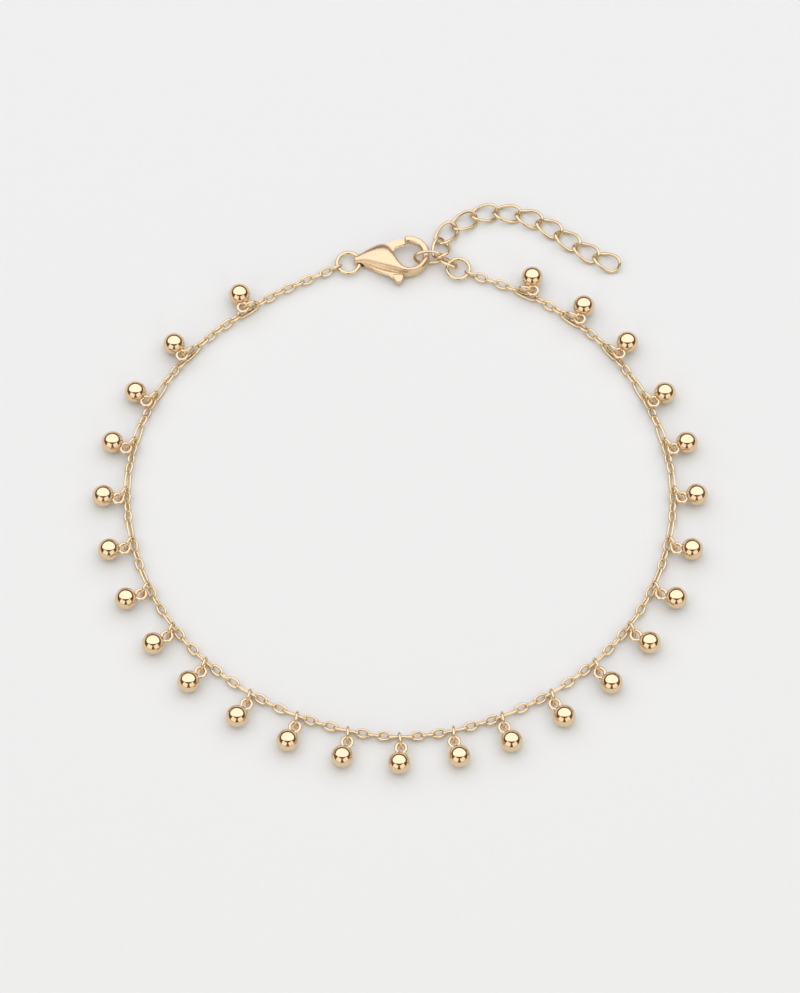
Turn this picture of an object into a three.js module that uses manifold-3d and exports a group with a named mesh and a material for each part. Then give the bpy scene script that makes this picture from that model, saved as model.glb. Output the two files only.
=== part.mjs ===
// A charm anklet lying on a flat surface: a fine chain with small round balls on jump rings, closed by
// a lobster clasp that is hooked into a free extender chain. Millimetres, +Z up, the surface is z = 0.
// It is laid out from the clasp: the chain leaves the ring at the clasp's tail, goes round the ankle
// and comes back to the ring behind the extender's first link.

import * as THREE from 'three';
import { mergeVertices } from 'three/addons/utils/BufferGeometryUtils.js';
import Module from 'manifold-3d';

const wasm = await Module();
wasm.setup();

// Clearances
const pivotPlay = 0.08; // between the lever's hole and its pin
const slotPlay = 0.14; // between the lever and the slot that it swings in
const ringPlay = 0.48; // between a ring's wire and the tip of the end link round it

// Fine chain
const chainWire = 0.28;
const chainLinkLength = 1.98;
const chainLinkWidth = 1.4;
const chainBody = 1.0; // diameter of the tube that stands for the links
const chainSteps = 70;
const chainSides = 8;
const linkRoll = 75; // degrees that the end links are turned from flat

// Charms
const charmPitch = 7.26;
const lastGap = 4; // the least chain after the last charm
const firstGap = 10.1; // from the first charm's link to the second's
const secondCharm = 24.24; // along the chain from the clasp's ring
const charmRingOuter = 2.5;
const charmRingWire = 0.3;
const ballDiameter = 3;
const eyeOuter = 1.75;
const eyeWire = 0.36;
const eyeSink = 0.18; // how far the eye is soldered into the ball
const ringOut = 0.78; // from the chain's centre to a charm ring's centre
const eyeRide = 15; // degrees that an eye has ridden up its ring
const stretchFront = 0.991; // reach of a pulled out ball, as a share of its ring's and eye's full reach
const stretchBack = 0.5945; // and of one that has slid back towards the chain
const reachFade = 1.3; // power by which the reach falls from front to back
const slideFront = 0.2; // how far the balls have slid towards the front, as a share of their reach
const slideBack = 0.5;

// Rings at the chain's ends
const claspRingOuter = 3.6;
const claspRingWire = 0.45;
const endRingOuter = 3.5;
const endRingWire = 0.38;
const endRingHeight = 0.72;

// Extender
const extenderCount = 12;
const extenderLength = 4.16;
const extenderWidth = 2.75;
const extenderWire = 0.36;
const firstLinkLength = 3.4; // the link in the ring is smaller
const firstLinkWidth = 2.2;
const extenderTwist = 0.37; // how much a link is twisted, in mm of height per square mm
const extenderPlay = 0.26; // slack between two links in line

// Clasp
const claspLength = 10.5;
const claspBreadth = 5.5;
const claspThickness = 2.3;
const hookThickness = 1.1;
const claspEdge = 0.25; // rounding of the plate's edges
const hookEdge = 0.15;
const hookLift = 0.17; // above the middle of the plate's thickness
const leverThickness = 0.9;
const pinDiameter = 0.9;
const tailBore = 0.9;
const tailWall = 0.28; // from the bore to the tail's end
const tailTurn = 15; // degrees that the ring's wire is turned where it passes the tail
const gateOpening = 24; // degrees
const gateSteps = 6; // turned copies of the lever that the slot is cut with
const knobHeight = 1.3;

// Where the clasp's tail lies, and the way that it points
const claspTail = new THREE.Vector2(-6.4, 35.7);
const claspHeading = 1.2;

// How the linked pieces beside the hook lie, chosen from the photograph, in mm and degrees: the second
// link from the hook's inside, the first and the third from the second, and the end ring from the first
const hookedLink = { from: [0.79, -0.92], height: 1.35, heading: 1.3, roll: 75 };
const firstLink = { from: [2.62, -0.44], height: 0.88, heading: -30.5, roll: 134 };
const thirdLink = { from: [1.86, 1.44], height: 1.24, heading: 82.7, roll: 4.3, pitch: -24.8 };
const endRingFrom = [1.57, -0.96];

// Directions in which the chain leaves its two rings, in degrees
const leaveClasp = -157;
const leaveEnd = -25;

// The chain's route between its two end rings, chosen from the photograph, in mm
const chainRoute = [
  [-18.5, 29.6],
  [-28.5, 21.6],
  [-35.0, 11.4],
  [-37.1, 0.5],
  [-35.2, -10.2],
  [-30.4, -19.4],
  [-22.9, -27.0],
  [-12.1, -32.8],
  [0.0, -35.2],
  [12.2, -32.8],
  [23.2, -26.9],
  [30.9, -19.1],
  [35.5, -9.9],
  [37.1, 0.8],
  [34.8, 11.6],
  [28.6, 22.0],
  [19.4, 29.4],
];

// The free extender's route, chosen from the photograph, in mm
const extenderRoute = [
  [6.45, 39.8],
  [6.96, 40.41],
  [9.0, 41.75],
  [11.5, 43.0],
  [14.7, 43.1],
  [17.8, 42.4],
  [20.8, 40.8],
  [23.5, 38.8],
  [26.1, 36.9],
  [29.4, 35.2],
];

// How far each charm's ring has slid along its link, chosen from the photograph, in mm
const charmSlides = [
  -1.2, -0.3, 0.8, 1.0, 1.2, 1.3, 1.1, 0.8, 0.3, 0.6, 0.4, 0.2, -0.2,
  -0.2, -0.7, -0.6, -0.5, -0.6, -1.0, -1.3, -1.1, -1.1, -0.9, 0.4, 0.6, 1.0,
];

const gold = { metalness: 1, roughness: 0.22 };
const chainGold = new THREE.MeshStandardMaterial({ color: 0xe6c88c, ...gold });
const ballGold = new THREE.MeshStandardMaterial({ color: 0xe2b676, ...gold });
const claspGold = new THREE.MeshStandardMaterial({ color: 0xe3ba84, ...gold });

const anklet = new THREE.Group();

function solidOf(geometry) {
  const bare = geometry.clone();
  bare.deleteAttribute('normal');
  bare.deleteAttribute('uv');
  const merged = mergeVertices(bare, 1e-4);
  return new wasm.Manifold(new wasm.Mesh({
    numProp: 3,
    vertProperties: new Float32Array(merged.attributes.position.array),
    triVerts: new Uint32Array(merged.index.array),
  }));
}

function geometryOf(solid) {
  const mesh = solid.getMesh();
  const geometry = new THREE.BufferGeometry();
  geometry.setAttribute('position', new THREE.BufferAttribute(mesh.vertProperties, 3));
  geometry.setIndex(new THREE.BufferAttribute(mesh.triVerts, 1));
  geometry.computeVertexNormals();
  return geometry;
}

function add(name, geometry, material) {
  const mesh = new THREE.Mesh(geometry, material);
  mesh.name = name;
  anklet.add(mesh);
  return mesh;
}

const radians = THREE.MathUtils.degToRad;
const degrees = THREE.MathUtils.radToDeg;

function direction(angle) {
  return new THREE.Vector2(Math.cos(radians(angle)), Math.sin(radians(angle)));
}

// A placing matrix: first the roll about the piece's own X, then its pitch, then its heading.
function placing(x, y, z, heading, roll = 0, pitch = 0) {
  const turn = new THREE.Euler(radians(roll), radians(-pitch), radians(heading), 'ZYX');
  return new THREE.Matrix4()
    .makeRotationFromEuler(turn)
    .setPosition(x, y, z);
}

// An oval wire's centre line, which may be twisted so that links in line can lie flat.
class OvalWire extends THREE.Curve {
  constructor(length, width, wire, twist) {
    super();
    this.halfLength = (length - wire) / 2;
    this.halfWidth = (width - wire) / 2;
    this.twist = twist;
  }

  getPoint(t) {
    const x = this.halfLength * Math.cos(2 * Math.PI * t);
    const y = this.halfWidth * Math.sin(2 * Math.PI * t);
    return new THREE.Vector3(x, y, this.twist * x * y);
  }
}

function ovalLink(length, width, wire, twist = 0, segments = 14) {
  return new THREE.TubeGeometry(new OvalWire(length, width, wire, twist), segments, wire / 2, 6, true);
}

function flatRing(outer, wire, segments, sides) {
  return new THREE.TorusGeometry((outer - wire) / 2, wire / 2, sides, segments);
}

// Clasp: a domed teardrop plate with a tail bore, and a hook that comes round to the gate's tip.
// Both outlines are shares of the clasp's length and breadth.
const claspX = (share) => share * claspLength;
const claspY = (share) => share * claspBreadth;

function curveTo(shape, a, b, end) {
  shape.bezierCurveTo(claspX(a[0]), claspY(a[1]), claspX(b[0]), claspY(b[1]), claspX(end[0]), claspY(end[1]));
}

function plateOutline() {
  const shape = new THREE.Shape();
  shape.moveTo(claspX(0.025), claspY(-0.09));
  curveTo(shape, [0.17, -0.06], [0.38, -0.36], [0.61, -0.43]);
  curveTo(shape, [0.67, -0.48], [0.72, -0.44], [0.72, -0.33]);
  curveTo(shape, [0.64, -0.3], [0.58, -0.08], [0.51, 0.21]);
  curveTo(shape, [0.48, 0.35], [0.44, 0.41], [0.37, 0.41]);
  curveTo(shape, [0.25, 0.41], [0.15, 0.17], [0.025, 0.09]);
  curveTo(shape, [-0.012, 0.05], [-0.012, -0.05], [0.025, -0.09]);
  return shape;
}

function hookOutline() {
  const shape = new THREE.Shape();
  shape.moveTo(claspX(0.55), claspY(-0.4));
  curveTo(shape, [0.72, -0.62], [1, -0.5], [1, 0.03]);
  curveTo(shape, [1, 0.36], [0.86, 0.585], [0.675, 0.56]);
  shape.lineTo(claspX(0.68), claspY(0.4));
  curveTo(shape, [0.79, 0.4], [0.905, 0.27], [0.905, 0.06]);
  curveTo(shape, [0.905, -0.17], [0.83, -0.3], [0.735, -0.3]);
  curveTo(shape, [0.65, -0.295], [0.6, -0.12], [0.56, 0.02]);
  shape.closePath();
  return shape;
}

function slab(shape, thickness, edge, lift = 0) {
  const geometry = new THREE.ExtrudeGeometry(shape, {
    depth: thickness - 2 * edge,
    bevelThickness: edge,
    bevelSize: edge,
    bevelOffset: -edge,
    bevelSegments: 2,
    curveSegments: 5,
  });
  return geometry.translate(0, 0, (claspThickness - thickness) / 2 + edge + lift);
}

const pivot = new THREE.Vector2(claspX(0.33), claspY(0.1));

// The lever's outline, anticlockwise from the gate's tip, and the outline of the thumb knob on its end,
// as shares of the clasp's length and breadth
const leverShares = [
  [0.655, 0.515],
  [0.55, 0.475],
  [0.45, 0.4],
  [0.36, 0.31],
  [0.24, 0.1],
  [0.2, -0.1],
  [0.2, -0.2],
  [0.34, -0.39],
  [0.49, -0.51],
  [0.52, -0.63],
  [0.62, -0.63],
  [0.645, -0.5],
  [0.55, -0.32],
  [0.48, -0.12],
  [0.48, 0.13],
  [0.54, 0.28],
  [0.66, 0.37],
];
const knobShares = [
  [0.51, -0.56],
  [0.535, -0.67],
  [0.575, -0.71],
  [0.615, -0.67],
  [0.64, -0.56],
];

function outlineShape(points) {
  return new THREE.Shape(points.map((p) => new THREE.Vector2(p[0], p[1])));
}

// The outline moved outwards by a distance, each corner along the middle of its two sides' normals.
function grown(points, distance) {
  const count = points.length;
  return points.map((p, i) => {
    const before = points[(i + count - 1) % count];
    const after = points[(i + 1) % count];
    const n1 = new THREE.Vector2(p[1] - before[1], before[0] - p[0]).normalize();
    const n2 = new THREE.Vector2(after[1] - p[1], p[0] - after[0]).normalize();
    const middle = n1.clone().add(n2).normalize();
    const reach = distance / Math.max(0.5, middle.dot(n1));
    return [p[0] + middle.x * reach, p[1] + middle.y * reach];
  });
}

function flatSlab(points, thickness) {
  const geometry = new THREE.ExtrudeGeometry(outlineShape(points), { depth: thickness, bevelEnabled: false });
  return geometry.translate(0, 0, (claspThickness - thickness) / 2);
}

function aboutPivot(angle) {
  return new THREE.Matrix4()
    .makeTranslation(pivot.x, pivot.y, 0)
    .multiply(new THREE.Matrix4().makeRotationZ(radians(angle)))
    .multiply(new THREE.Matrix4().makeTranslation(-pivot.x, -pivot.y, 0));
}

function pinAt(diameter, height, sides) {
  return new THREE.CylinderGeometry(diameter / 2, diameter / 2, height, sides)
    .rotateX(Math.PI / 2)
    .translate(pivot.x, pivot.y, claspThickness / 2);
}

const onOutline = ([x, y]) => [claspX(x), claspY(y)];
const leverPoints = leverShares.map(onOutline);
const tailBorePoint = new THREE.Vector2(tailBore / 2 + tailWall, 0);

function claspBody() {
  const plate = solidOf(slab(plateOutline(), claspThickness, claspEdge));
  const hook = solidOf(slab(hookOutline(), hookThickness, hookEdge, hookLift));
  const slotHeight = leverThickness + 2 * slotPlay;
  const slotPoints = grown(leverPoints, slotPlay);
  let slot = solidOf(flatSlab(slotPoints, slotHeight));
  for (let i = 1; i <= gateSteps; i++) {
    const turned = flatSlab(slotPoints, slotHeight).applyMatrix4(aboutPivot((-gateOpening * i) / gateSteps));
    slot = slot.add(solidOf(turned));
  }
  const bore = new THREE.CylinderGeometry(tailBore / 2, tailBore / 2, claspBreadth, 10)
    .rotateZ(radians(tailTurn))
    .translate(tailBorePoint.x, tailBorePoint.y, claspRingHeight);
  const pin = solidOf(pinAt(pinDiameter, claspThickness - claspEdge, 12));
  return plate.add(hook).subtract(slot).subtract(solidOf(bore)).add(pin);
}

function claspLever() {
  const arm = solidOf(flatSlab(leverPoints, leverThickness));
  const knob = solidOf(flatSlab(knobShares.map(onOutline), knobHeight));
  return arm.add(knob).subtract(solidOf(pinAt(pinDiameter + 2 * pivotPlay, claspThickness, 12)));
}

// The ring through the clasp's tail lies flat, level with the bore.
const chainHeight = ((chainLinkWidth - chainWire) / 2) * Math.sin(radians(linkRoll)) + chainWire / 2;
const claspRingHeight = chainHeight;
const claspRingReach = (claspRingOuter - claspRingWire) / 2;

const claspPlacing = placing(claspTail.x, claspTail.y, 0, claspHeading);

function onClasp(x, y) {
  const p = new THREE.Vector3(x, y, 0).applyMatrix4(claspPlacing);
  return new THREE.Vector2(p.x, p.y);
}

add('clasp_body', geometryOf(claspBody()).applyMatrix4(claspPlacing), claspGold);
add('clasp_lever', geometryOf(claspLever()).applyMatrix4(claspPlacing), claspGold);

const claspRingCentre = onClasp(tailBorePoint.x, tailBorePoint.y)
  .sub(direction(claspHeading + tailTurn).multiplyScalar(claspRingReach));
add(
  'clasp_ring',
  flatRing(claspRingOuter, claspRingWire, 16, 6)
    .translate(claspRingCentre.x, claspRingCentre.y, claspRingHeight),
  claspGold,
);

// The extender's second link stands round the hook, the first hangs in it, and the ring in the first.
const hookInside = onClasp(claspX(0.91), claspY(0.14));

function linkPlace(start, link) {
  return start.clone().add(new THREE.Vector2(...link.from));
}

function linkPlacing(place, link) {
  return placing(place.x, place.y, link.height, link.heading, link.roll, link.pitch);
}

const hookedPlace = linkPlace(hookInside, hookedLink);
const firstPlace = linkPlace(hookedPlace, firstLink);
const thirdPlace = linkPlace(hookedPlace, thirdLink);
const endRingCentre = firstPlace.clone().add(new THREE.Vector2(...endRingFrom));
const endRingReach = (endRingOuter - endRingWire) / 2;
add(
  'chain_end_ring',
  flatRing(endRingOuter, endRingWire, 16, 6).translate(endRingCentre.x, endRingCentre.y, endRingHeight),
  claspGold,
);

function addExtenderLink(number, geometry, placed) {
  add('extender_link_' + String(number).padStart(2, '0'), geometry.applyMatrix4(placed), chainGold);
}

const twistedLink = ovalLink(extenderLength, extenderWidth, extenderWire, extenderTwist);
addExtenderLink(1, ovalLink(firstLinkLength, firstLinkWidth, extenderWire), linkPlacing(firstPlace, firstLink));
addExtenderLink(2, ovalLink(extenderLength, extenderWidth, extenderWire), linkPlacing(hookedPlace, hookedLink));
addExtenderLink(3, twistedLink.clone(), linkPlacing(thirdPlace, thirdLink));

// The free links lie twisted and nearly flat along their route, each a little slack in the next.
const extenderPitch = extenderLength - 2 * extenderWire - extenderPlay;
const freeHeight = extenderWire / 2
  + (extenderTwist * (extenderLength - extenderWire) * (extenderWidth - extenderWire)) / 8;

function routeCurve(points, height) {
  const places = points.map(([x, y]) => new THREE.Vector3(x, y, height));
  const curve = new THREE.CatmullRomCurve3(places, false, 'centripetal');
  curve.arcLengthDivisions = 2000;
  return curve;
}

const freeCurve = routeCurve(extenderRoute, freeHeight);
const freeLength = freeCurve.getLength();
const laidLinks = 3; // the links placed above
for (let i = 0; i < extenderCount - laidLinks; i++) {
  const distance = i * extenderPitch;
  const share = Math.min(1, distance / freeLength);
  const t = freeCurve.getTangentAt(share);
  const p = freeCurve.getPointAt(share).addScaledVector(t, Math.max(0, distance - freeLength));
  addExtenderLink(
    i + 1 + laidLinks,
    twistedLink.clone(),
    placing(p.x, p.y, p.z, degrees(Math.atan2(t.y, t.x))),
  );
}

// The chain's route starts and ends where its end links go round the two rings' wires.
const routeStart = claspRingCentre.clone().add(direction(leaveClasp).multiplyScalar(claspRingReach));
const routeEnd = endRingCentre.clone().add(direction(leaveEnd).multiplyScalar(endRingReach));
const chainCurve = routeCurve(
  [[routeStart.x, routeStart.y], ...chainRoute, [routeEnd.x, routeEnd.y]],
  chainHeight,
);
const chainLength = chainCurve.getLength();

function onChain(distance) {
  const share = distance / chainLength;
  const p = chainCurve.getPointAt(share);
  const t = chainCurve.getTangentAt(share);
  return { p, heading: degrees(Math.atan2(t.y, t.x)), outward: new THREE.Vector2(t.y, -t.x) };
}

// The tube between the two end links
function chainTube() {
  const startShare = chainLinkLength / 2 / chainLength;
  const points = [];
  for (let i = 0; i <= chainSteps; i++) {
    points.push(chainCurve.getPointAt(startShare + ((1 - 2 * startShare) * i) / chainSteps));
  }
  const section = new THREE.Shape();
  for (let i = 0; i < chainSides; i++) {
    const angle = (2 * Math.PI * i) / chainSides;
    const corner = [Math.cos(angle) * chainBody / 2, Math.sin(angle) * chainBody / 2];
    if (i) section.lineTo(...corner);
    else section.moveTo(...corner);
  }
  return new THREE.ExtrudeGeometry(section, {
    steps: chainSteps,
    extrudePath: new THREE.CatmullRomCurve3(points, false, 'centripetal'),
    bevelEnabled: false,
  });
}

// An end link's tip lies inside its ring, so its middle is this far from the ring's wire.
const endLinkPlace = chainLinkLength / 2 - chainWire / 2 - ringPlay;

function endLink(distance) {
  const { p, heading } = onChain(distance);
  return ovalLink(chainLinkLength, chainLinkWidth, chainWire, 0, 10)
    .applyMatrix4(placing(p.x, p.y, p.z, heading, linkRoll));
}

// A charm folds at its eye like an elbow: its ring is one arm and the ball with its eye the other. The
// ball stands at a reach from the chain that falls from the front to the back, where it has slid back,
// and the elbow lies on the side nearer the front.
const charmRingReach = (charmRingOuter - charmRingWire) / 2;
const ringArm = ringOut + charmRingReach * Math.cos(radians(eyeRide));
const eyeReach = (ballDiameter + eyeOuter) / 2 - eyeSink;
const eyeRise = (charmRingOuter - ballDiameter) / 2 + charmRingReach * Math.sin(radians(eyeRide));
const ballArm = Math.sqrt(eyeReach ** 2 - eyeRise ** 2);
const fullReach = ringArm + ballArm;

// As many charms as fit before the last gap, each with its slide from the photograph
const charmsThatFit = 2 + Math.floor((chainLength - lastGap - secondCharm) / charmPitch);
const charmCount = Math.min(charmSlides.length, charmsThatFit);

function charmPlace(index) {
  const station = secondCharm + (index ? (index - 1) * charmPitch : -firstGap);
  const { p, outward } = onChain(station + charmSlides[index]);
  const back = (1 + outward.y) / 2;
  const slide = THREE.MathUtils.lerp(slideFront, slideBack, back);
  const reach = fullReach * THREE.MathUtils.lerp(stretchFront, stretchBack, back ** reachFade);
  const foot = new THREE.Vector2(p.x, p.y);
  const away = outward.clone().add(new THREE.Vector2(0, -slide)).setLength(reach);
  const ball = foot.clone().add(away);
  const fold = Math.acos((ringArm ** 2 + reach ** 2 - ballArm ** 2) / (2 * ringArm * reach));
  const sides = [-fold, fold].map((turn) => direction(degrees(away.angle() + turn)));
  const arm = sides[0].y < sides[1].y ? sides[0] : sides[1];
  const elbow = foot.clone().add(arm.clone().multiplyScalar(ringArm));
  const ring = foot.clone().add(arm.clone().multiplyScalar(ringOut));
  return {
    ring: placing(ring.x, ring.y, charmRingOuter / 2, degrees(arm.angle()), 90),
    ball: placing(
      ball.x,
      ball.y,
      ballDiameter / 2,
      degrees(elbow.clone().sub(ball).angle()),
      0,
      degrees(Math.asin(eyeRise / eyeReach)),
    ),
  };
}

function ballCharm() {
  const ball = new THREE.SphereGeometry(ballDiameter / 2, 12, 6).rotateZ(Math.PI / 2);
  const eye = new THREE.TorusGeometry((eyeOuter - eyeWire) / 2, eyeWire / 2, 5, 8).translate(eyeReach, 0, 0);
  return geometryOf(solidOf(ball).add(solidOf(eye)));
}

let chain = solidOf(chainTube());
for (const distance of [endLinkPlace, chainLength - endLinkPlace]) {
  chain = chain.add(solidOf(endLink(distance)));
}
for (let i = 0; i < charmCount; i++) {
  const place = charmPlace(i);
  chain = chain.add(solidOf(flatRing(charmRingOuter, charmRingWire, 12, 5).applyMatrix4(place.ring)));
  add('ball_charm_' + String(i + 1).padStart(2, '0'), ballCharm().applyMatrix4(place.ball), ballGold);
}
add('chain', geometryOf(chain), chainGold);

// The origin is on the surface, under the middle of the whole anklet.
const box = new THREE.Box3().setFromObject(anklet, true);
const middle = box.getCenter(new THREE.Vector3());
const part = new THREE.Group();
anklet.position.set(-middle.x, -middle.y, -box.min.z);
part.add(anklet);

export default part;
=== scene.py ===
import bpy
import numpy as np
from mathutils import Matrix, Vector


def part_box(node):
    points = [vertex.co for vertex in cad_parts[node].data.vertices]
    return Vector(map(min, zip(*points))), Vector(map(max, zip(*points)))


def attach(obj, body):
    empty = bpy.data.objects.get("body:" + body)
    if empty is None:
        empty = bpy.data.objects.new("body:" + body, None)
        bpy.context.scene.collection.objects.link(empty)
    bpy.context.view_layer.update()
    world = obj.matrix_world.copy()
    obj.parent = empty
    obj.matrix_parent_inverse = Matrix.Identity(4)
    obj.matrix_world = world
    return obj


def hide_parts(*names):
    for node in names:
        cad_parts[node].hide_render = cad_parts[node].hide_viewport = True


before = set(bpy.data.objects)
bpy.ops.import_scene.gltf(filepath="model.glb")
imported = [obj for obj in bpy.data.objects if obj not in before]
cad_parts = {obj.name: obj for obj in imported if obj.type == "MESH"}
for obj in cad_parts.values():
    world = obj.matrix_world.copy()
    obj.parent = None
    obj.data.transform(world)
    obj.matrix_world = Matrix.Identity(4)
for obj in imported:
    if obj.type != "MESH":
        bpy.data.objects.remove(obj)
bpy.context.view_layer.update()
mm = 0.001


# Shared shapes

def unit(vectors):
    return vectors / np.linalg.norm(vectors, axis=-1, keepdims=True)


# Centripetal Catmull-Rom through the points: between two of them each coordinate is a cubic whose end
# slopes come from the neighbours, weighted by the square roots of the distances between them.
def through(points, steps=60):
    points = np.asarray(points, float)
    line = np.vstack([2 * points[0] - points[1], points, 2 * points[-1] - points[-2]])
    gap = np.sqrt(np.linalg.norm(np.diff(line, axis=0), axis=1))[:, None]
    a, b, c, d = line[:-3], line[1:-2], line[2:-1], line[3:]
    before, across, after = gap[:-2], gap[1:-1], gap[2:]
    leave = ((b - a) / before - (c - a) / (before + across) + (c - b) / across) * across
    arrive = ((c - b) / across - (d - b) / (across + after) + (d - c) / after) * across
    t = np.linspace(0, 1, steps, endpoint=False)[:, None, None]
    square, cube = 3 * (c - b) - 2 * leave - arrive, 2 * (b - c) + leave + arrive
    cubic = b + leave * t + square * t ** 2 + cube * t ** 3
    return np.vstack([cubic.transpose(1, 0, 2).reshape(-1, points.shape[1]), points[-1]])


# The same through a closed loop of points.
def around(points, steps=8):
    points = np.asarray(points, float)
    line = through(np.vstack([points[-3:], points, points[:3]]), steps)
    return line[3 * steps:(3 + len(points)) * steps]


# Distance along a line of points, and the point and the direction at given distances.
def along(line, distances):
    lengths = np.concatenate([[0], np.cumsum(np.linalg.norm(np.diff(line, axis=0), axis=1))])
    pick = lambda s: np.stack([np.interp(s, lengths, line[:, i]) for i in range(line.shape[1])], -1)
    distances = np.asarray(distances, float)
    return pick(distances), unit(pick(distances + 0.05) - pick(distances - 0.05)), lengths[-1]


# Rotation by roll about the piece's own X, then pitch that lifts its X end, then heading about Z.
def turned(heading, roll=0.0, pitch=0.0):
    angles = [np.radians(angle) for angle in np.broadcast_arrays(heading, roll, pitch)]
    ch, sh, cr, sr, cp, sp = (wave(angle) for angle in angles for wave in (np.cos, np.sin))
    rows = [
        [ch * cp, -ch * sp * sr - sh * cr, -ch * sp * cr + sh * sr],
        [sh * cp, -sh * sp * sr + ch * cr, -sh * sp * cr - ch * sr],
        [sp, cp * sr, cp * cr],
    ]
    return np.moveaxis(np.array(rows), (0, 1), (-2, -1))


def headingOf(vector):
    return np.degrees(np.arctan2(vector[..., 1], vector[..., 0]))


# Quads of a grid of rows by columns that closes in both directions.
def torusFaces(rows, columns):
    i, j = np.meshgrid(np.arange(rows), np.arange(columns), indexing="ij")
    k, l = (i + 1) % rows, (j + 1) % columns
    return np.stack([i * columns + j, k * columns + j, k * columns + l, i * columns + l], -1).reshape(-1, 4)


# Faces of a tube of rows by columns that closes round its columns: quads between the rows, which face
# out, and two ends, which face in. slabShape turns its ends to face out.
def tubeQuads(rows, columns):
    ring = np.arange(columns)
    start, ahead = np.arange(rows - 1)[:, None] * columns, (ring + 1) % columns
    quads = [start + ahead, start + columns + ahead, start + columns + ring, start + ring]
    return np.stack(quads, -1).reshape(-1, 4)


def tubeEnds(rows, columns):
    first = list(range(columns))
    return [first, [n + (rows - 1) * columns for n in first[::-1]]]


# A round wire along a closed line that lies near the local XY plane: circles in the planes of the
# side direction, which is the line's direction crossed with Z, and the direction at right angles.
def wireLoop(line, radius, sides=10):
    direction = unit(np.roll(line, -1, 0) - np.roll(line, 1, 0))
    side = unit(np.cross(direction, [0.0, 0.0, 1.0]))
    up = np.cross(side, direction)
    angle = np.linspace(0, 2 * np.pi, sides, endpoint=False)[None, :, None]
    points = line[:, None] + radius * (np.cos(angle) * side[:, None] + np.sin(angle) * up[:, None])
    return points.reshape(-1, 3), torusFaces(len(line), sides)


# The centre line of an oval link: an ellipse made a little fuller at its shoulders, and twisted, so
# that height is the twist times x times y.
def ovalLine(length, width, wire, twist=0.0, count=40, fullness=0.9):
    angle = np.linspace(0, 2 * np.pi, count, endpoint=False)
    bend = lambda value: np.sign(value) * np.abs(value) ** fullness
    x = (length - wire) / 2 * bend(np.cos(angle))
    y = (width - wire) / 2 * bend(np.sin(angle))
    return np.stack([x, y, twist * x * y], -1)


def ringLine(outer, wire, count=48):
    return ovalLine(outer, outer, wire, 0.0, count, 1.0)


# One shape placed many times: every copy turned and moved, with its faces numbered on.
def copies(shape, turns, places):
    points, faces = shape
    turns = np.asarray(turns).reshape(-1, 3, 3)
    places = np.asarray(places, float).reshape(-1, 3)
    moved = np.einsum("nij,kj->nki", turns, points) + places[:, None]
    numbers = faces[None] + (np.arange(len(turns)) * len(points))[:, None, None]
    return moved.reshape(-1, 3), numbers.reshape(-1, faces.shape[1])


def joined(*shapes):
    points, faces, start = [], [], 0
    for shapePoints, shapeFaces in shapes:
        points.append(shapePoints)
        faces.extend((np.asarray(shapeFaces) + start).tolist() if isinstance(shapeFaces, np.ndarray)
                     else [[n + start for n in face] for face in shapeFaces])
        start += len(shapePoints)
    return np.vstack(points), faces


def meshObject(name, shape, material=None):
    points, faces = shape
    if isinstance(faces, np.ndarray):
        faces = faces.tolist()
    mesh = bpy.data.meshes.new(name)
    mesh.from_pydata((np.asarray(points) * mm).tolist(), [], faces)
    mesh.update()
    mesh.polygons.foreach_set("use_smooth", np.ones(len(mesh.polygons), bool))
    piece = bpy.data.objects.new(name, mesh)
    bpy.context.scene.collection.objects.link(piece)
    if material:
        mesh.materials.append(material)
    return piece


def finishPiece(piece, body, slot, *nodes):
    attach(piece, body)
    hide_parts(*nodes)
    return piece


# Materials

metals = {
    "chainGold": {"colour": (0.77, 0.61, 0.37), "rough": 0.15, "grain": 900, "bump": 0.04},
    "ballGold": {"colour": (0.82, 0.62, 0.39), "rough": 0.09, "grain": 500, "bump": 0.015},
    "claspGold": {"colour": (0.76, 0.565, 0.35), "rough": 0.27, "grain": 700, "bump": 0.03},
}


# Polished metal: fine noise in object space varies the roughness a little and tilts the surface.
def goldMaterial(name):
    look = metals[name]
    material = bpy.data.materials.new(name)
    material.use_nodes = True
    nodes, links = material.node_tree.nodes, material.node_tree.links
    shader = nodes["Principled BSDF"]
    shader.inputs["Metallic"].default_value = 1.0
    shader.inputs["Base Color"].default_value = (*look["colour"], 1)
    coordinates = nodes.new("ShaderNodeTexCoord")
    noise = nodes.new("ShaderNodeTexNoise")
    noise.inputs["Scale"].default_value = look["grain"]
    noise.inputs["Detail"].default_value = 3.0
    links.new(coordinates.outputs["Object"], noise.inputs["Vector"])
    spread = nodes.new("ShaderNodeMapRange")
    spread.inputs["To Min"].default_value = look["rough"] * 0.8
    spread.inputs["To Max"].default_value = look["rough"] * 1.25
    links.new(noise.outputs["Fac"], spread.inputs["Value"])
    links.new(spread.outputs["Result"], shader.inputs["Roughness"])
    bump = nodes.new("ShaderNodeBump")
    bump.inputs["Strength"].default_value = look["bump"]
    bump.inputs["Distance"].default_value = 0.02 * mm
    links.new(noise.outputs["Fac"], bump.inputs["Height"])
    links.new(bump.outputs["Normal"], shader.inputs["Normal"])
    return material


gold = {name: goldMaterial(name) for name in metals}


# Where things lie, in mm from the middle of the photograph

layout = {
    "claspTail": (-6.4, 35.7),
    "claspHeading": 1.2,
    "claspLength": 10.5,
    "claspBreadth": 5.5,
    "claspRing": {"outer": 3.6, "wire": 0.45, "shownWire": 0.54, "leave": -157},
    "endRing": {"outer": 3.5, "wire": 0.38, "shownWire": 0.49, "leave": -25},
    "ringByTail": {"bore": 0.73, "turn": 15},
}


def centreOf(node):
    low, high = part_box(node)
    return (np.array(low) + np.array(high)) / 2 / mm


def towards(angle):
    return np.array([np.cos(np.radians(angle)), np.sin(np.radians(angle)), 0.0])


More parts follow.
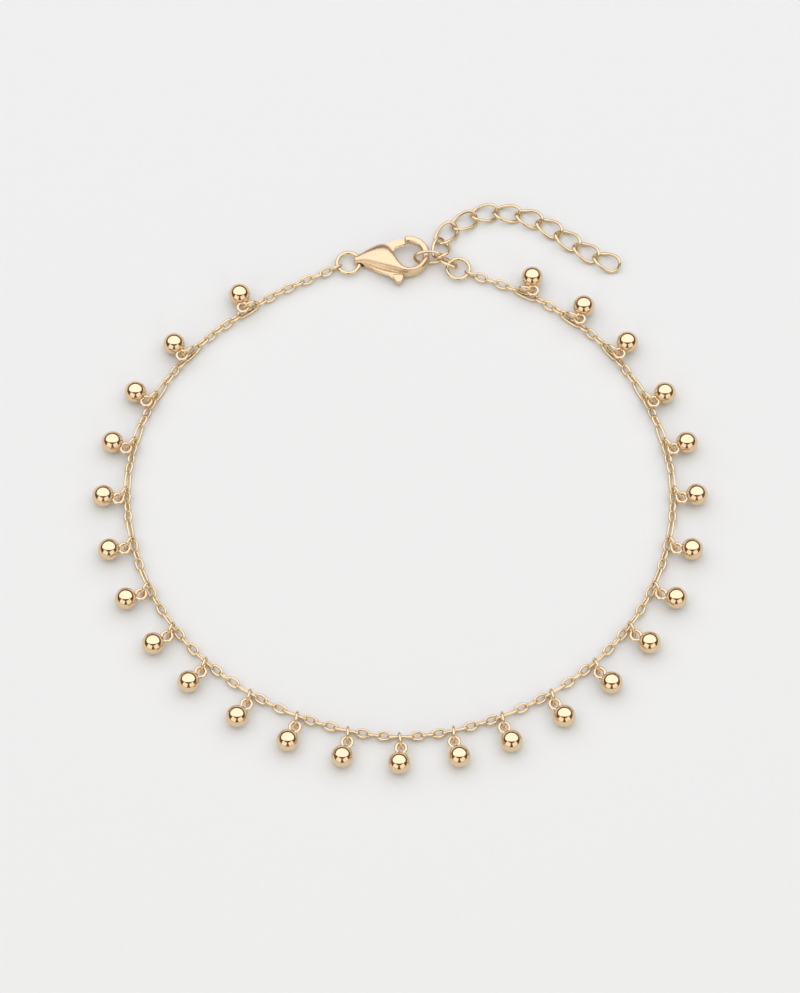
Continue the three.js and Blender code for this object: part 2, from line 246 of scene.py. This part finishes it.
# The frame's origin isn't the photograph's middle: the shift is where the clasp's ring is in the frame
# less where the layout puts it.
claspRingCentre = centreOf("clasp_ring")
endRingCentre = centreOf("chain_end_ring")
claspTurn = turned(layout["claspHeading"])
ringReach = (layout["claspRing"]["outer"] - layout["claspRing"]["wire"]) / 2
tailPoint = np.array([*layout["claspTail"], 0]) + claspTurn @ np.array([layout["ringByTail"]["bore"], 0, 0])
laidRing = tailPoint - ringReach * towards(layout["claspHeading"] + layout["ringByTail"]["turn"])
shift = (claspRingCentre - laidRing) * [1, 1, 0]
print("layout shift in mm:", shift.round(4).tolist())


def laid(points, height=0.0):
    points = np.asarray(points, float)
    return np.column_stack([points, np.full(len(points), height)]) + shift


# The fine chain with the charms' rings

chainLook = {
    "wire": 0.36, "length": 2.08, "width": 1.38, "longLength": 3.7, "longWidth": 1.42,
    "height": 0.68, "roll": 45, "endRoll": 30, "frontRoll": 20,
    "ringOuter": 2.5, "ringWire": 0.3, "shownRingWire": 0.41,
    "pitch": 7.26, "firstGap": 10.1, "second": 24.24, "plainPitch": 1.42, "count": 26,
    "endLink": 0.37, "startLinks": 9, "lastLinks": 5, "endFade": 2.0,
}
chainRoute = [
    [-18.5, 29.6], [-28.5, 21.6], [-35.0, 11.4], [-37.1, 0.5], [-35.2, -10.2], [-30.4, -19.4],
    [-22.9, -27.0], [-12.1, -32.8], [0.0, -35.2], [12.2, -32.8], [23.2, -26.9], [30.9, -19.1],
    [35.5, -9.9], [37.1, 0.8], [34.8, 11.6], [28.6, 22.0], [19.4, 29.4],
]
charmSlides = np.array([
    -1.2, -0.3, 0.8, 1.0, 1.2, 1.3, 1.1, 0.8, 0.3, 0.6, 0.4, 0.2, -0.2,
    -0.2, -0.7, -0.6, -0.5, -0.6, -1.0, -1.3, -1.1, -1.1, -0.9, 0.4, 0.6, 1.0,
])
endReach = (layout["endRing"]["outer"] - layout["endRing"]["wire"]) / 2
chainStart = (claspRingCentre + ringReach * towards(layout["claspRing"]["leave"])) * [1, 1, 0]
chainEnd = (endRingCentre + endReach * towards(layout["endRing"]["leave"])) * [1, 1, 0]
chainLine = through(np.vstack([chainStart, laid(chainRoute), chainEnd]))
chainLength = along(chainLine, [0])[2]
stations = chainLook["second"] + chainLook["pitch"] * (np.arange(chainLook["count"]) - 1.0)
stations[0] = chainLook["second"] - chainLook["firstGap"]
print("chain length in mm:", round(float(chainLength), 2))


# Plain links between the long ones that carry the charms: their middles are spaced evenly, half a long
# pitch and half a plain pitch away from a long link's middle.
def linkStations():
    look = chainLook
    half = (look["pitch"] - 2 * look["plainPitch"]) / 2
    plain = [np.linspace(look["endLink"], stations[0] - half, look["startLinks"])]
    for left, right in zip(stations[:-1], stations[1:]):
        count = int(round((right - left - 2 * half) / look["plainPitch"])) + 1
        plain.append(np.linspace(left + half, right - half, count))
    plain.append(np.linspace(stations[-1] + half, chainLength - look["endLink"], look["lastLinks"]))
    runs, isLong = [], []
    for i, run in enumerate(plain):
        runs.append(run)
        isLong.append(np.zeros(len(run), bool))
        if i < len(stations):
            runs.append(stations[i:i + 1])
            isLong.append(np.ones(1, bool))
    return np.concatenate(runs), np.concatenate(isLong)


# Each link is turned a quarter from the last, the long ones with their outer bar up. The chain is
# twisted on towards its two end rings, and towards the front, where the long links stand on edge.
def chainLinks():
    look = chainLook
    places, isLong = linkStations()
    middle, direction, _ = along(chainLine, places)
    number = np.arange(len(places))
    firstLong = int(np.argmax(isLong))
    sign = np.where((number - firstLong) % 2 == 0, 1.0, -1.0)
    nearEnd = np.exp(-np.minimum(number, number[-1] - number) / look["endFade"])
    front = (1 + direction[:, 0]) / 2
    roll = -sign * look["roll"] + look["endRoll"] * nearEnd - look["frontRoll"] * front
    middle = middle + [0, 0, look["height"]]
    turns = turned(headingOf(direction), roll)
    wire = look["wire"]
    plainLine = ovalLine(look["length"], look["width"], wire, 0.0, 40, 1.0)
    longLine = ovalLine(look["longLength"], look["longWidth"], wire, 0.0, 44, 0.8)
    return [
        copies(wireLoop(plainLine, wire / 2), turns[~isLong], middle[~isLong]),
        copies(wireLoop(longLine, wire / 2), turns[isLong], middle[isLong]),
    ]


charmLook = {
    "ringOut": 0.78, "eyeRide": 15, "stretchFront": 0.991, "stretchBack": 0.5945, "reachFade": 1.3,
    "slideFront": 0.2, "slideBack": 0.5,
    "ball": 3.0, "eyeOuter": 1.75, "eyeWire": 0.36, "shownEyeWire": 0.44, "eyeSink": 0.18, "shownSink": 0.3,
    "neckIn": 0.14, "neckOut": 0.16, "neckWide": 0.5, "neckNarrow": 0.2,
}


# A charm folds at its eye like an elbow: the ring is one arm and the ball with its eye the other, the
# ball stands at a reach from the chain that falls from the front to the back, and the angle at the
# chain comes from the cosine rule, on the side nearer the front.
def charmPlaces():
    look = charmLook
    foot, direction, _ = along(chainLine, stations + charmSlides)
    outward = np.stack([direction[:, 1], -direction[:, 0], direction[:, 2]], -1)
    back = (1 + outward[:, 1]) / 2
    slide = look["slideFront"] + (look["slideBack"] - look["slideFront"]) * back
    ringReach = (chainLook["ringOuter"] - chainLook["ringWire"]) / 2
    ride = np.radians(look["eyeRide"])
    ringArm = look["ringOut"] + ringReach * np.cos(ride)
    eyeReach = (look["ball"] + look["eyeOuter"]) / 2 - look["eyeSink"]
    rise = (chainLook["ringOuter"] - look["ball"]) / 2 + ringReach * np.sin(ride)
    ballArm = np.sqrt(eyeReach ** 2 - rise ** 2)
    folded = back ** look["reachFade"]
    stretch = look["stretchFront"] + (look["stretchBack"] - look["stretchFront"]) * folded
    reach = (ringArm + ballArm) * stretch
    away = unit(outward - np.stack([0 * slide, slide, 0 * slide], -1))
    ball = foot + away * reach[:, None]
    fold = np.degrees(np.arccos((ringArm ** 2 + reach ** 2 - ballArm ** 2) / (2 * ringArm * reach)))
    angles = headingOf(away) + np.array([[-1.0], [1.0]]) * fold
    lower = np.argmin(np.sin(np.radians(angles)), axis=0)
    heading = angles[lower, np.arange(len(foot))]
    arm = np.stack([np.cos(np.radians(heading)), np.sin(np.radians(heading)), 0 * heading], -1)
    elbow = foot + arm * ringArm
    ring = foot + arm * look["ringOut"] + [0, 0, chainLook["ringOuter"] / 2]
    pitch = np.degrees(np.arcsin(rise / eyeReach))
    ballTurn = turned(headingOf(elbow - ball), 0, pitch)
    return ring, turned(heading, 90), ball + [0, 0, look["ball"] / 2], ballTurn


ringPlaces, ringTurns, ballPlaces, ballTurns = charmPlaces()


def chainPiece():
    wire = chainLook["shownRingWire"]
    ringShape = wireLoop(ringLine(chainLook["ringOuter"], wire, 44), wire / 2)
    shape = joined(*chainLinks(), copies(ringShape, ringTurns, ringPlaces))
    piece = meshObject("chain", shape, gold["chainGold"])
    return finishPiece(piece, "anklet", "chain_gold", "chain")


chainPiece()
print("chain and charm rings are made")


# Ball charms

# A sphere of rows of latitude about the X axis, closed at both poles by rings of no size.
def sphereShape(radius, rows, columns):
    tilt = np.linspace(0, np.pi, rows + 1)[:, None]
    angle = np.linspace(0, 2 * np.pi, columns, endpoint=False)[None]
    points = np.stack([
        np.cos(tilt) * np.ones_like(angle), np.sin(tilt) * np.cos(angle), np.sin(tilt) * np.sin(angle),
    ], -1) * radius
    inner = points[1:-1].reshape(-1, 3)
    quads = tubeQuads(rows - 1, columns)[:, ::-1].tolist()
    first, last = len(inner), len(inner) + 1
    base = (rows - 2) * columns
    caps = [[first, n, (n + 1) % columns] for n in range(columns)]
    caps += [[last, base + (n + 1) % columns, base + n] for n in range(columns)]
    return np.vstack([inner, [[radius, 0, 0], [-radius, 0, 0]]]), quads + caps


# The solder between ball and eye: a short neck whose radius falls from the ball's side to the eye's.
def neckShape(start, end, wide, narrow, rows=6, columns=20):
    share = np.linspace(0, 1, rows)[:, None]
    radius = narrow + (wide - narrow) * (1 - share) ** 2.5
    angle = np.linspace(0, 2 * np.pi, columns, endpoint=False)[None]
    place = start + (end - start) * share
    points = np.stack([place * np.ones_like(angle), radius * np.cos(angle), radius * np.sin(angle)], -1)
    return points.reshape(-1, 3), tubeQuads(rows, columns).tolist() + tubeEnds(rows, columns)


def ballPieces():
    look = charmLook
    radius = look["ball"] / 2
    eyeReach = radius + look["eyeOuter"] / 2 - look["shownSink"]
    eyeLine = ringLine(look["eyeOuter"], look["eyeWire"], 32) + [eyeReach, 0, 0]
    charm = joined(
        sphereShape(radius, 32, 64),
        wireLoop(eyeLine, look["shownEyeWire"] / 2, 12),
        neckShape(radius - look["neckIn"], radius + look["neckOut"], look["neckWide"], look["neckNarrow"]),
    )
    for i in range(chainLook["count"]):
        points = charm[0] @ ballTurns[i].T + ballPlaces[i]
        piece = meshObject(f"ballCharm{i + 1:02d}", (points, charm[1]), gold["ballGold"])
        finishPiece(piece, "anklet", "ball_gold", f"ball_charm_{i + 1:02d}")


ballPieces()
print("ball charms are made")


# Rings at the chain's ends and the extender

def flatRingPiece(name, node, look, centre):
    points, faces = wireLoop(ringLine(look["outer"], look["wire"], 72), look["shownWire"] / 2, 16)
    piece = meshObject(name, (points + centre, faces), gold["chainGold"])
    return finishPiece(piece, "anklet", "chain_gold", node)


flatRingPiece("claspRing", "clasp_ring", layout["claspRing"], claspRingCentre)
flatRingPiece("chainEndRing", "chain_end_ring", layout["endRing"], endRingCentre)

extenderLook = {
    "length": 4.16, "width": 2.75, "wire": 0.36, "shownWire": 0.46, "twist": 0.37, "play": 0.26,
    "count": 12, "fullness": 0.94, "firstLength": 3.4, "firstWidth": 2.2,
    "hookAlong": 0.91, "hookAcross": 0.14,
    "hooked": {"from": (0.79, -0.92), "height": 1.35, "heading": 1.3, "roll": 75},
    "first": {"from": (2.62, -0.44), "height": 0.88, "heading": -30.5, "roll": 134},
    "third": {"from": (1.86, 1.44), "height": 1.24, "heading": 82.7, "roll": 4.3, "pitch": -24.8},
}
extenderRoute = [
    [6.45, 39.8], [6.96, 40.41], [9.0, 41.75], [11.5, 43.0], [14.7, 43.1], [17.8, 42.4],
    [20.8, 40.8], [23.5, 38.8], [26.1, 36.9], [29.4, 35.2],
]


def onClasp(x, y):
    return np.array([*layout["claspTail"], 0]) + claspTurn @ np.array([x, y, 0]) + shift


# The first three links are placed one by one, from the point inside the hook. The free ones lie along
# their route, a link's inner length less its play apart, twisted and nearly flat: a twisted link's half
# height is its twist times the half length times the half width of its wire's line, halved.
def extenderPieces():
    look = extenderLook
    wire = look["wire"]
    inside = onClasp(look["hookAlong"] * layout["claspLength"], look["hookAcross"] * layout["claspBreadth"])
    hooked = inside + [*look["hooked"]["from"], 0]

    def oval(length, width, twist=0.0):
        return ovalLine(length, width, wire, twist, 56, look["fullness"])

    def laidBy(pose, start):
        return start + [0, 0, pose["height"]], turned(pose["heading"], pose["roll"], pose.get("pitch", 0.0))

    plain = oval(look["length"], look["width"])
    twisted = oval(look["length"], look["width"], look["twist"])
    small = oval(look["firstLength"], look["firstWidth"])
    poses = [
        (small, *laidBy(look["first"], hooked + [*look["first"]["from"], 0])),
        (plain, *laidBy(look["hooked"], hooked)),
        (twisted, *laidBy(look["third"], hooked + [*look["third"]["from"], 0])),
    ]
    pitch = look["length"] - 2 * wire - look["play"]
    height = wire / 2 + look["twist"] * (look["length"] - wire) * (look["width"] - wire) / 8
    line = through(laid(extenderRoute, height), 200)
    spots = np.minimum(np.arange(look["count"] - len(poses)) * pitch, along(line, [0])[2])
    places, directions, _ = along(line, spots)
    poses += [(twisted, place, turn) for place, turn in zip(places, turned(headingOf(directions)))]
    lift = np.array([0, 0, (look["shownWire"] - wire) / 2])
    for i, (shapeLine, place, turn) in enumerate(poses):
        points, faces = wireLoop(shapeLine, look["shownWire"] / 2, 12)
        shape = (points @ turn.T + place + lift, faces)
        piece = meshObject(f"extenderLink{i + 1:02d}", shape, gold["chainGold"])
        finishPiece(piece, "anklet", "chain_gold", f"extender_link_{i + 1:02d}")


extenderPieces()
print("rings and extender are made")


# Clasp

claspLook = {
    "pivot": (3.465, 0.55), "slotLow": 0.56, "slotHigh": 1.62, "slotGrow": 0.15, "opening": 24,
    "cutEdge": 0.01, "bore": 0.45, "boreReach": 1.5, "boreHeight": 0.68, "sharp": 50,
    "crown": 0.075, "crownAt": -0.45, "groove": 0.1, "grooveRise": 0.68, "grooveSpread": 0.12,
    "leverLow": 0.7, "leverHigh": 1.3, "leverEdge": 0.26,
    "knobLow": 0.3, "knobHigh": 1.36, "knobEdge": 0.2,
}
# The body's outer edge, its inner edge, its underside, its top, and how far the foot of its outer wall
# stands out, from the tail round to the hook's tip
claspRails = [
    (-0.08, -0.12, -0.08, 0.12, 0.30, 1.05, 0.0), (0.06, -0.38, 0.06, 0.36, 0.10, 1.30, 0.06),
    (0.45, -0.52, 0.40, 0.52, 0.02, 1.46, 0.20), (1.20, -0.64, 1.05, 0.86, 0.0, 1.74, 0.45),
    (2.20, -1.02, 1.80, 1.30, 0.0, 2.02, 0.62), (3.20, -1.46, 2.60, 1.72, 0.0, 2.22, 0.68),
    (4.10, -1.76, 3.30, 2.04, 0.0, 2.30, 0.66), (4.85, -1.98, 3.98, 2.18, 0.0, 2.30, 0.62),
    (5.45, -2.14, 4.66, 1.98, 0.02, 2.28, 0.56), (6.00, -2.27, 5.24, 1.30, 0.04, 2.22, 0.52),
    (6.50, -2.38, 5.68, 0.36, 0.06, 2.14, 0.48), (7.10, -2.46, 6.14, -0.66, 0.08, 2.04, 0.46),
    (7.85, -2.42, 6.84, -1.44, 0.12, 1.95, 0.46), (8.73, -2.14, 7.90, -1.70, 0.24, 1.89, 0.42),
    (9.56, -1.58, 8.92, -1.30, 0.40, 1.86, 0.34), (10.13, -0.84, 9.40, -0.56, 0.56, 1.85, 0.22),
    (10.42, 0.02, 9.54, 0.14, 0.70, 1.85, 0.12), (10.44, 0.90, 9.48, 0.82, 0.75, 1.85, 0.08),
    (10.18, 1.68, 9.22, 1.38, 0.77, 1.85, 0.05), (9.68, 2.36, 8.80, 1.78, 0.77, 1.85, 0.05),
    (8.98, 2.88, 8.26, 2.05, 0.77, 1.85, 0.05), (8.15, 3.16, 7.70, 2.20, 0.78, 1.85, 0.04),
    (7.34, 3.20, 7.24, 2.26, 0.82, 1.82, 0.02), (7.10, 3.02, 7.08, 2.44, 1.0, 1.62, 0.0),
]
leverOutline = [
    (6.9, 2.5), (6.74, 2.6), (5.78, 2.36), (4.72, 1.98), (3.78, 1.5), (2.62, 0.55), (2.3, -0.35),
    (2.3, -0.85), (2.75, -1.4), (3.5, -1.82), (4.4, -2.18), (5.0, -2.42), (5.6, -2.86), (6.35, -2.86),
    (6.42, -2.4), (5.78, -1.76), (5.04, -0.66), (5.04, 0.85), (5.5, 1.7), (6.0, 1.98), (6.76, 2.24),
    (6.9, 2.32),
]
knobOutline = [
    (5.3, -2.62), (5.36, -3.0), (5.56, -3.46), (5.92, -3.8), (6.36, -3.86), (6.68, -3.52),
    (6.82, -3.0), (6.8, -2.62), (6.05, -2.5),
]
# Two more openings of the slot in the outer wall, with their underside and top
claspNotches = [
    ([(1.1, -0.4), (2.5, -0.7), (2.6, -2.5), (1.15, -1.9)], 0.4, 1.16),
    ([(5.15, -1.8), (7.0, -1.95), (7.0, -3.2), (5.15, -3.2)], 1.0, 1.5),
]


# The body: between the two edges each section is a rounded box whose corners follow a power curve, so
# that a point at an angle has its across and its height raised to one power of cosine and sine. The top
# is crowned by the square of how far across is from the crown's place. The outer wall leans out towards
# its foot under a groove that runs along the top's edge, a bell curve of the rise.
def claspBodyShape(columns=96, power=0.62):
    look = claspLook
    rails = through(claspRails, 10)
    outer, inner = rails[:, None, 0:2], rails[:, None, 2:4]
    low, high, foot = rails[:, None, 4:5], rails[:, None, 5:6], rails[:, None, 6:7]
    angle = np.linspace(0, 2 * np.pi, columns, endpoint=False)[None, :, None]
    bend = lambda value: np.sign(value) * np.abs(value) ** power
    across, rise = bend(np.cos(angle)), bend(np.sin(angle))
    outwards, outerSide = unit(outer - inner), (1 - across) / 2
    groove = look["groove"] * np.exp(-((rise - look["grooveRise"]) / look["grooveSpread"]) ** 2)
    flat = (outer + inner) / 2 + (inner - outer) / 2 * across
    flat = flat + outwards * outerSide ** 2 * (foot * (1 - rise) / 2 - groove)
    crown = look["crown"] * np.linalg.norm(outer - inner, axis=-1, keepdims=True)
    fall = crown * (across - look["crownAt"]) ** 2 * np.maximum(rise, 0)
    height = (low + high) / 2 + (high - low) / 2 * rise - fall
    points = np.concatenate([flat, height], -1)
    faces = tubeQuads(len(rails), columns).tolist() + tubeEnds(len(rails), columns)
    return points.reshape(-1, 3), faces


# A slab from a closed outline whose upper and lower edges are rounded by quarter circles.
def slabShape(outline, low, high, edge, rounds=5):
    direction = unit(np.roll(outline, -1, 0) - np.roll(outline, 1, 0))
    inward = np.stack([-direction[:, 1], direction[:, 0]], -1)
    bend = np.linspace(0, np.pi / 2, rounds)
    insets = np.concatenate([edge * (1 - np.sin(bend)), edge * (1 - np.cos(bend))])
    heights = np.concatenate([low + edge * (1 - np.cos(bend)), high - edge * (1 - np.sin(bend))])
    flat = outline[None] + inward[None] * insets[:, None, None]
    lifted = np.broadcast_to(heights[:, None, None], flat.shape[:2] + (1,))
    quads = np.roll(tubeQuads(*flat.shape[:2]), 1, 1).tolist()
    ends = [end[::-1] for end in tubeEnds(*flat.shape[:2])]
    return np.concatenate([flat, lifted], -1).reshape(-1, 3), quads + ends


def grown(outline, distance):
    direction = unit(np.roll(outline, -1, 0) - np.roll(outline, 1, 0))
    return outline + distance * np.stack([direction[:, 1], -direction[:, 0]], -1)


def aboutPivot(outline, angle):
    pivot = np.array(claspLook["pivot"])
    turn = turned(angle)[:2, :2]
    return (outline - pivot) @ turn.T + pivot


def onPlace(shape):
    points, faces = shape
    return np.asarray(points) @ claspTurn.T + onClasp(0, 0), faces


def cut(piece, shape):
    cutter = meshObject("cutter", shape)
    step = piece.modifiers.new("cut", "BOOLEAN")
    step.operation = "DIFFERENCE"
    step.solver = "EXACT"
    step.object = cutter
    bpy.context.view_layer.update()
    result = bpy.data.meshes.new_from_object(piece.evaluated_get(bpy.context.evaluated_depsgraph_get()))
    piece.modifiers.clear()
    piece.data = result
    bpy.data.objects.remove(cutter)


# The thumb knob: a rounded tab on the lever's end, thicker than the lever.
def knobShape():
    outline = around(knobOutline, 5)
    return slabShape(outline, claspLook["knobLow"], claspLook["knobHigh"], claspLook["knobEdge"])


# The slot is cut at rest, half open and open, and the bore at right angles to its ring's direction.
def claspPieces():
    look = claspLook
    outline = around(leverOutline, 6)[::-1]
    body = meshObject("claspBody", onPlace(claspBodyShape()), gold["claspGold"])
    slot = grown(outline, look["slotGrow"])
    turns = (0, -look["opening"] / 2, -look["opening"])
    openings = [(aboutPivot(slot, angle), look["slotLow"], look["slotHigh"]) for angle in turns]
    openings += [(np.array(notch), low, high) for notch, low, high in claspNotches]
    for opening, low, high in openings:
        cut(body, onPlace(slabShape(opening, low, high, look["cutEdge"], 2)))
    bore = turned(layout["ringByTail"]["turn"] + 90)
    points, faces = neckShape(-look["boreReach"], look["boreReach"], look["bore"], look["bore"], 3, 32)
    centre = np.array([layout["ringByTail"]["bore"], 0, look["boreHeight"]])
    cut(body, onPlace((points @ bore.T + centre, faces)))
    body.data.polygons.foreach_set("use_smooth", np.ones(len(body.data.polygons), bool))
    finishPiece(body, "anklet", "clasp_gold", "clasp_body")
    lever = slabShape(outline, look["leverLow"], look["leverHigh"], look["leverEdge"])
    gate = meshObject("claspLever", onPlace(joined(lever, knobShape())), gold["claspGold"])
    finishPiece(gate, "gate", "clasp_gold", "clasp_lever")
    for piece in (body, gate):
        piece.data.set_sharp_from_angle(angle=np.radians(look["sharp"]))


claspPieces()
print("clasp is made")


# Floor, light and camera

stageLook = {
    "floor": (0.72, 0.743, 0.69), "world": (1.0, 0.85, 0.66), "worldStrength": 0.13,
    "camera": (0.0, -244.0, 548.1), "focal": 198.45, "transform": "Standard",
    "floorHalf": 1500.0, "floorHeight": -0.01, "floorRough": 0.75,
}
# Each softbox: where it stands and its size, in metres, its power in watts, its colour and its form
softboxes = {
    "overhead": ((0.0, 0.257, 0.705), (3.2, 1.66), 19.0, (1.0, 0.98, 1.1), "ELLIPSE"),
    "frontLeft": ((-0.441, -0.607, 0.33), (0.7, 0.62), 1.5, (1.0, 0.98, 0.95), "RECTANGLE"),
    "frontRight": ((0.441, -0.607, 0.33), (0.7, 0.62), 1.4, (1.0, 0.98, 0.95), "RECTANGLE"),
}


def aimed(piece, place, target):
    piece.location = place
    piece.rotation_euler = (Vector(target) - Vector(place)).to_track_quat("-Z", "Y").to_euler()


def stageSet():
    half, height = stageLook["floorHalf"], stageLook["floorHeight"]
    corners = [[-half, -half, height], [half, -half, height], [half, half, height], [-half, half, height]]
    floor = meshObject("floor", (corners, [[0, 1, 2, 3]]))
    material = bpy.data.materials.new("paleFloor")
    material.use_nodes = True
    shader = material.node_tree.nodes["Principled BSDF"]
    shader.inputs["Base Color"].default_value = (*stageLook["floor"], 1)
    shader.inputs["Roughness"].default_value = stageLook["floorRough"]
    floor.data.materials.append(material)
    world = bpy.data.worlds.new("room")
    world.use_nodes = True
    background = world.node_tree.nodes["Background"]
    background.inputs["Color"].default_value = (*stageLook["world"], 1)
    background.inputs["Strength"].default_value = stageLook["worldStrength"]
    bpy.context.scene.world = world
    bpy.context.scene.view_settings.view_transform = stageLook["transform"]
    for name, (place, size, power, colour, form) in softboxes.items():
        light = bpy.data.lights.new(name, "AREA")
        light.shape = form
        light.size, light.size_y = size
        light.energy = power
        light.color = colour
        lamp = bpy.data.objects.new(name, light)
        bpy.context.scene.collection.objects.link(lamp)
        aimed(lamp, place, (0, 0, 0))
    camera = bpy.data.cameras.new("camera")
    camera.sensor_fit = "HORIZONTAL"
    camera.sensor_width = 36
    camera.lens = stageLook["focal"]
    camera.clip_start = 0.01
    view = bpy.data.objects.new("camera", camera)
    bpy.context.scene.collection.objects.link(view)
    place = (np.array(stageLook["camera"]) + shift) * mm
    aimed(view, place.tolist(), (shift * mm).tolist())
    bpy.context.scene.camera = view


stageSet()
print("stage is set")
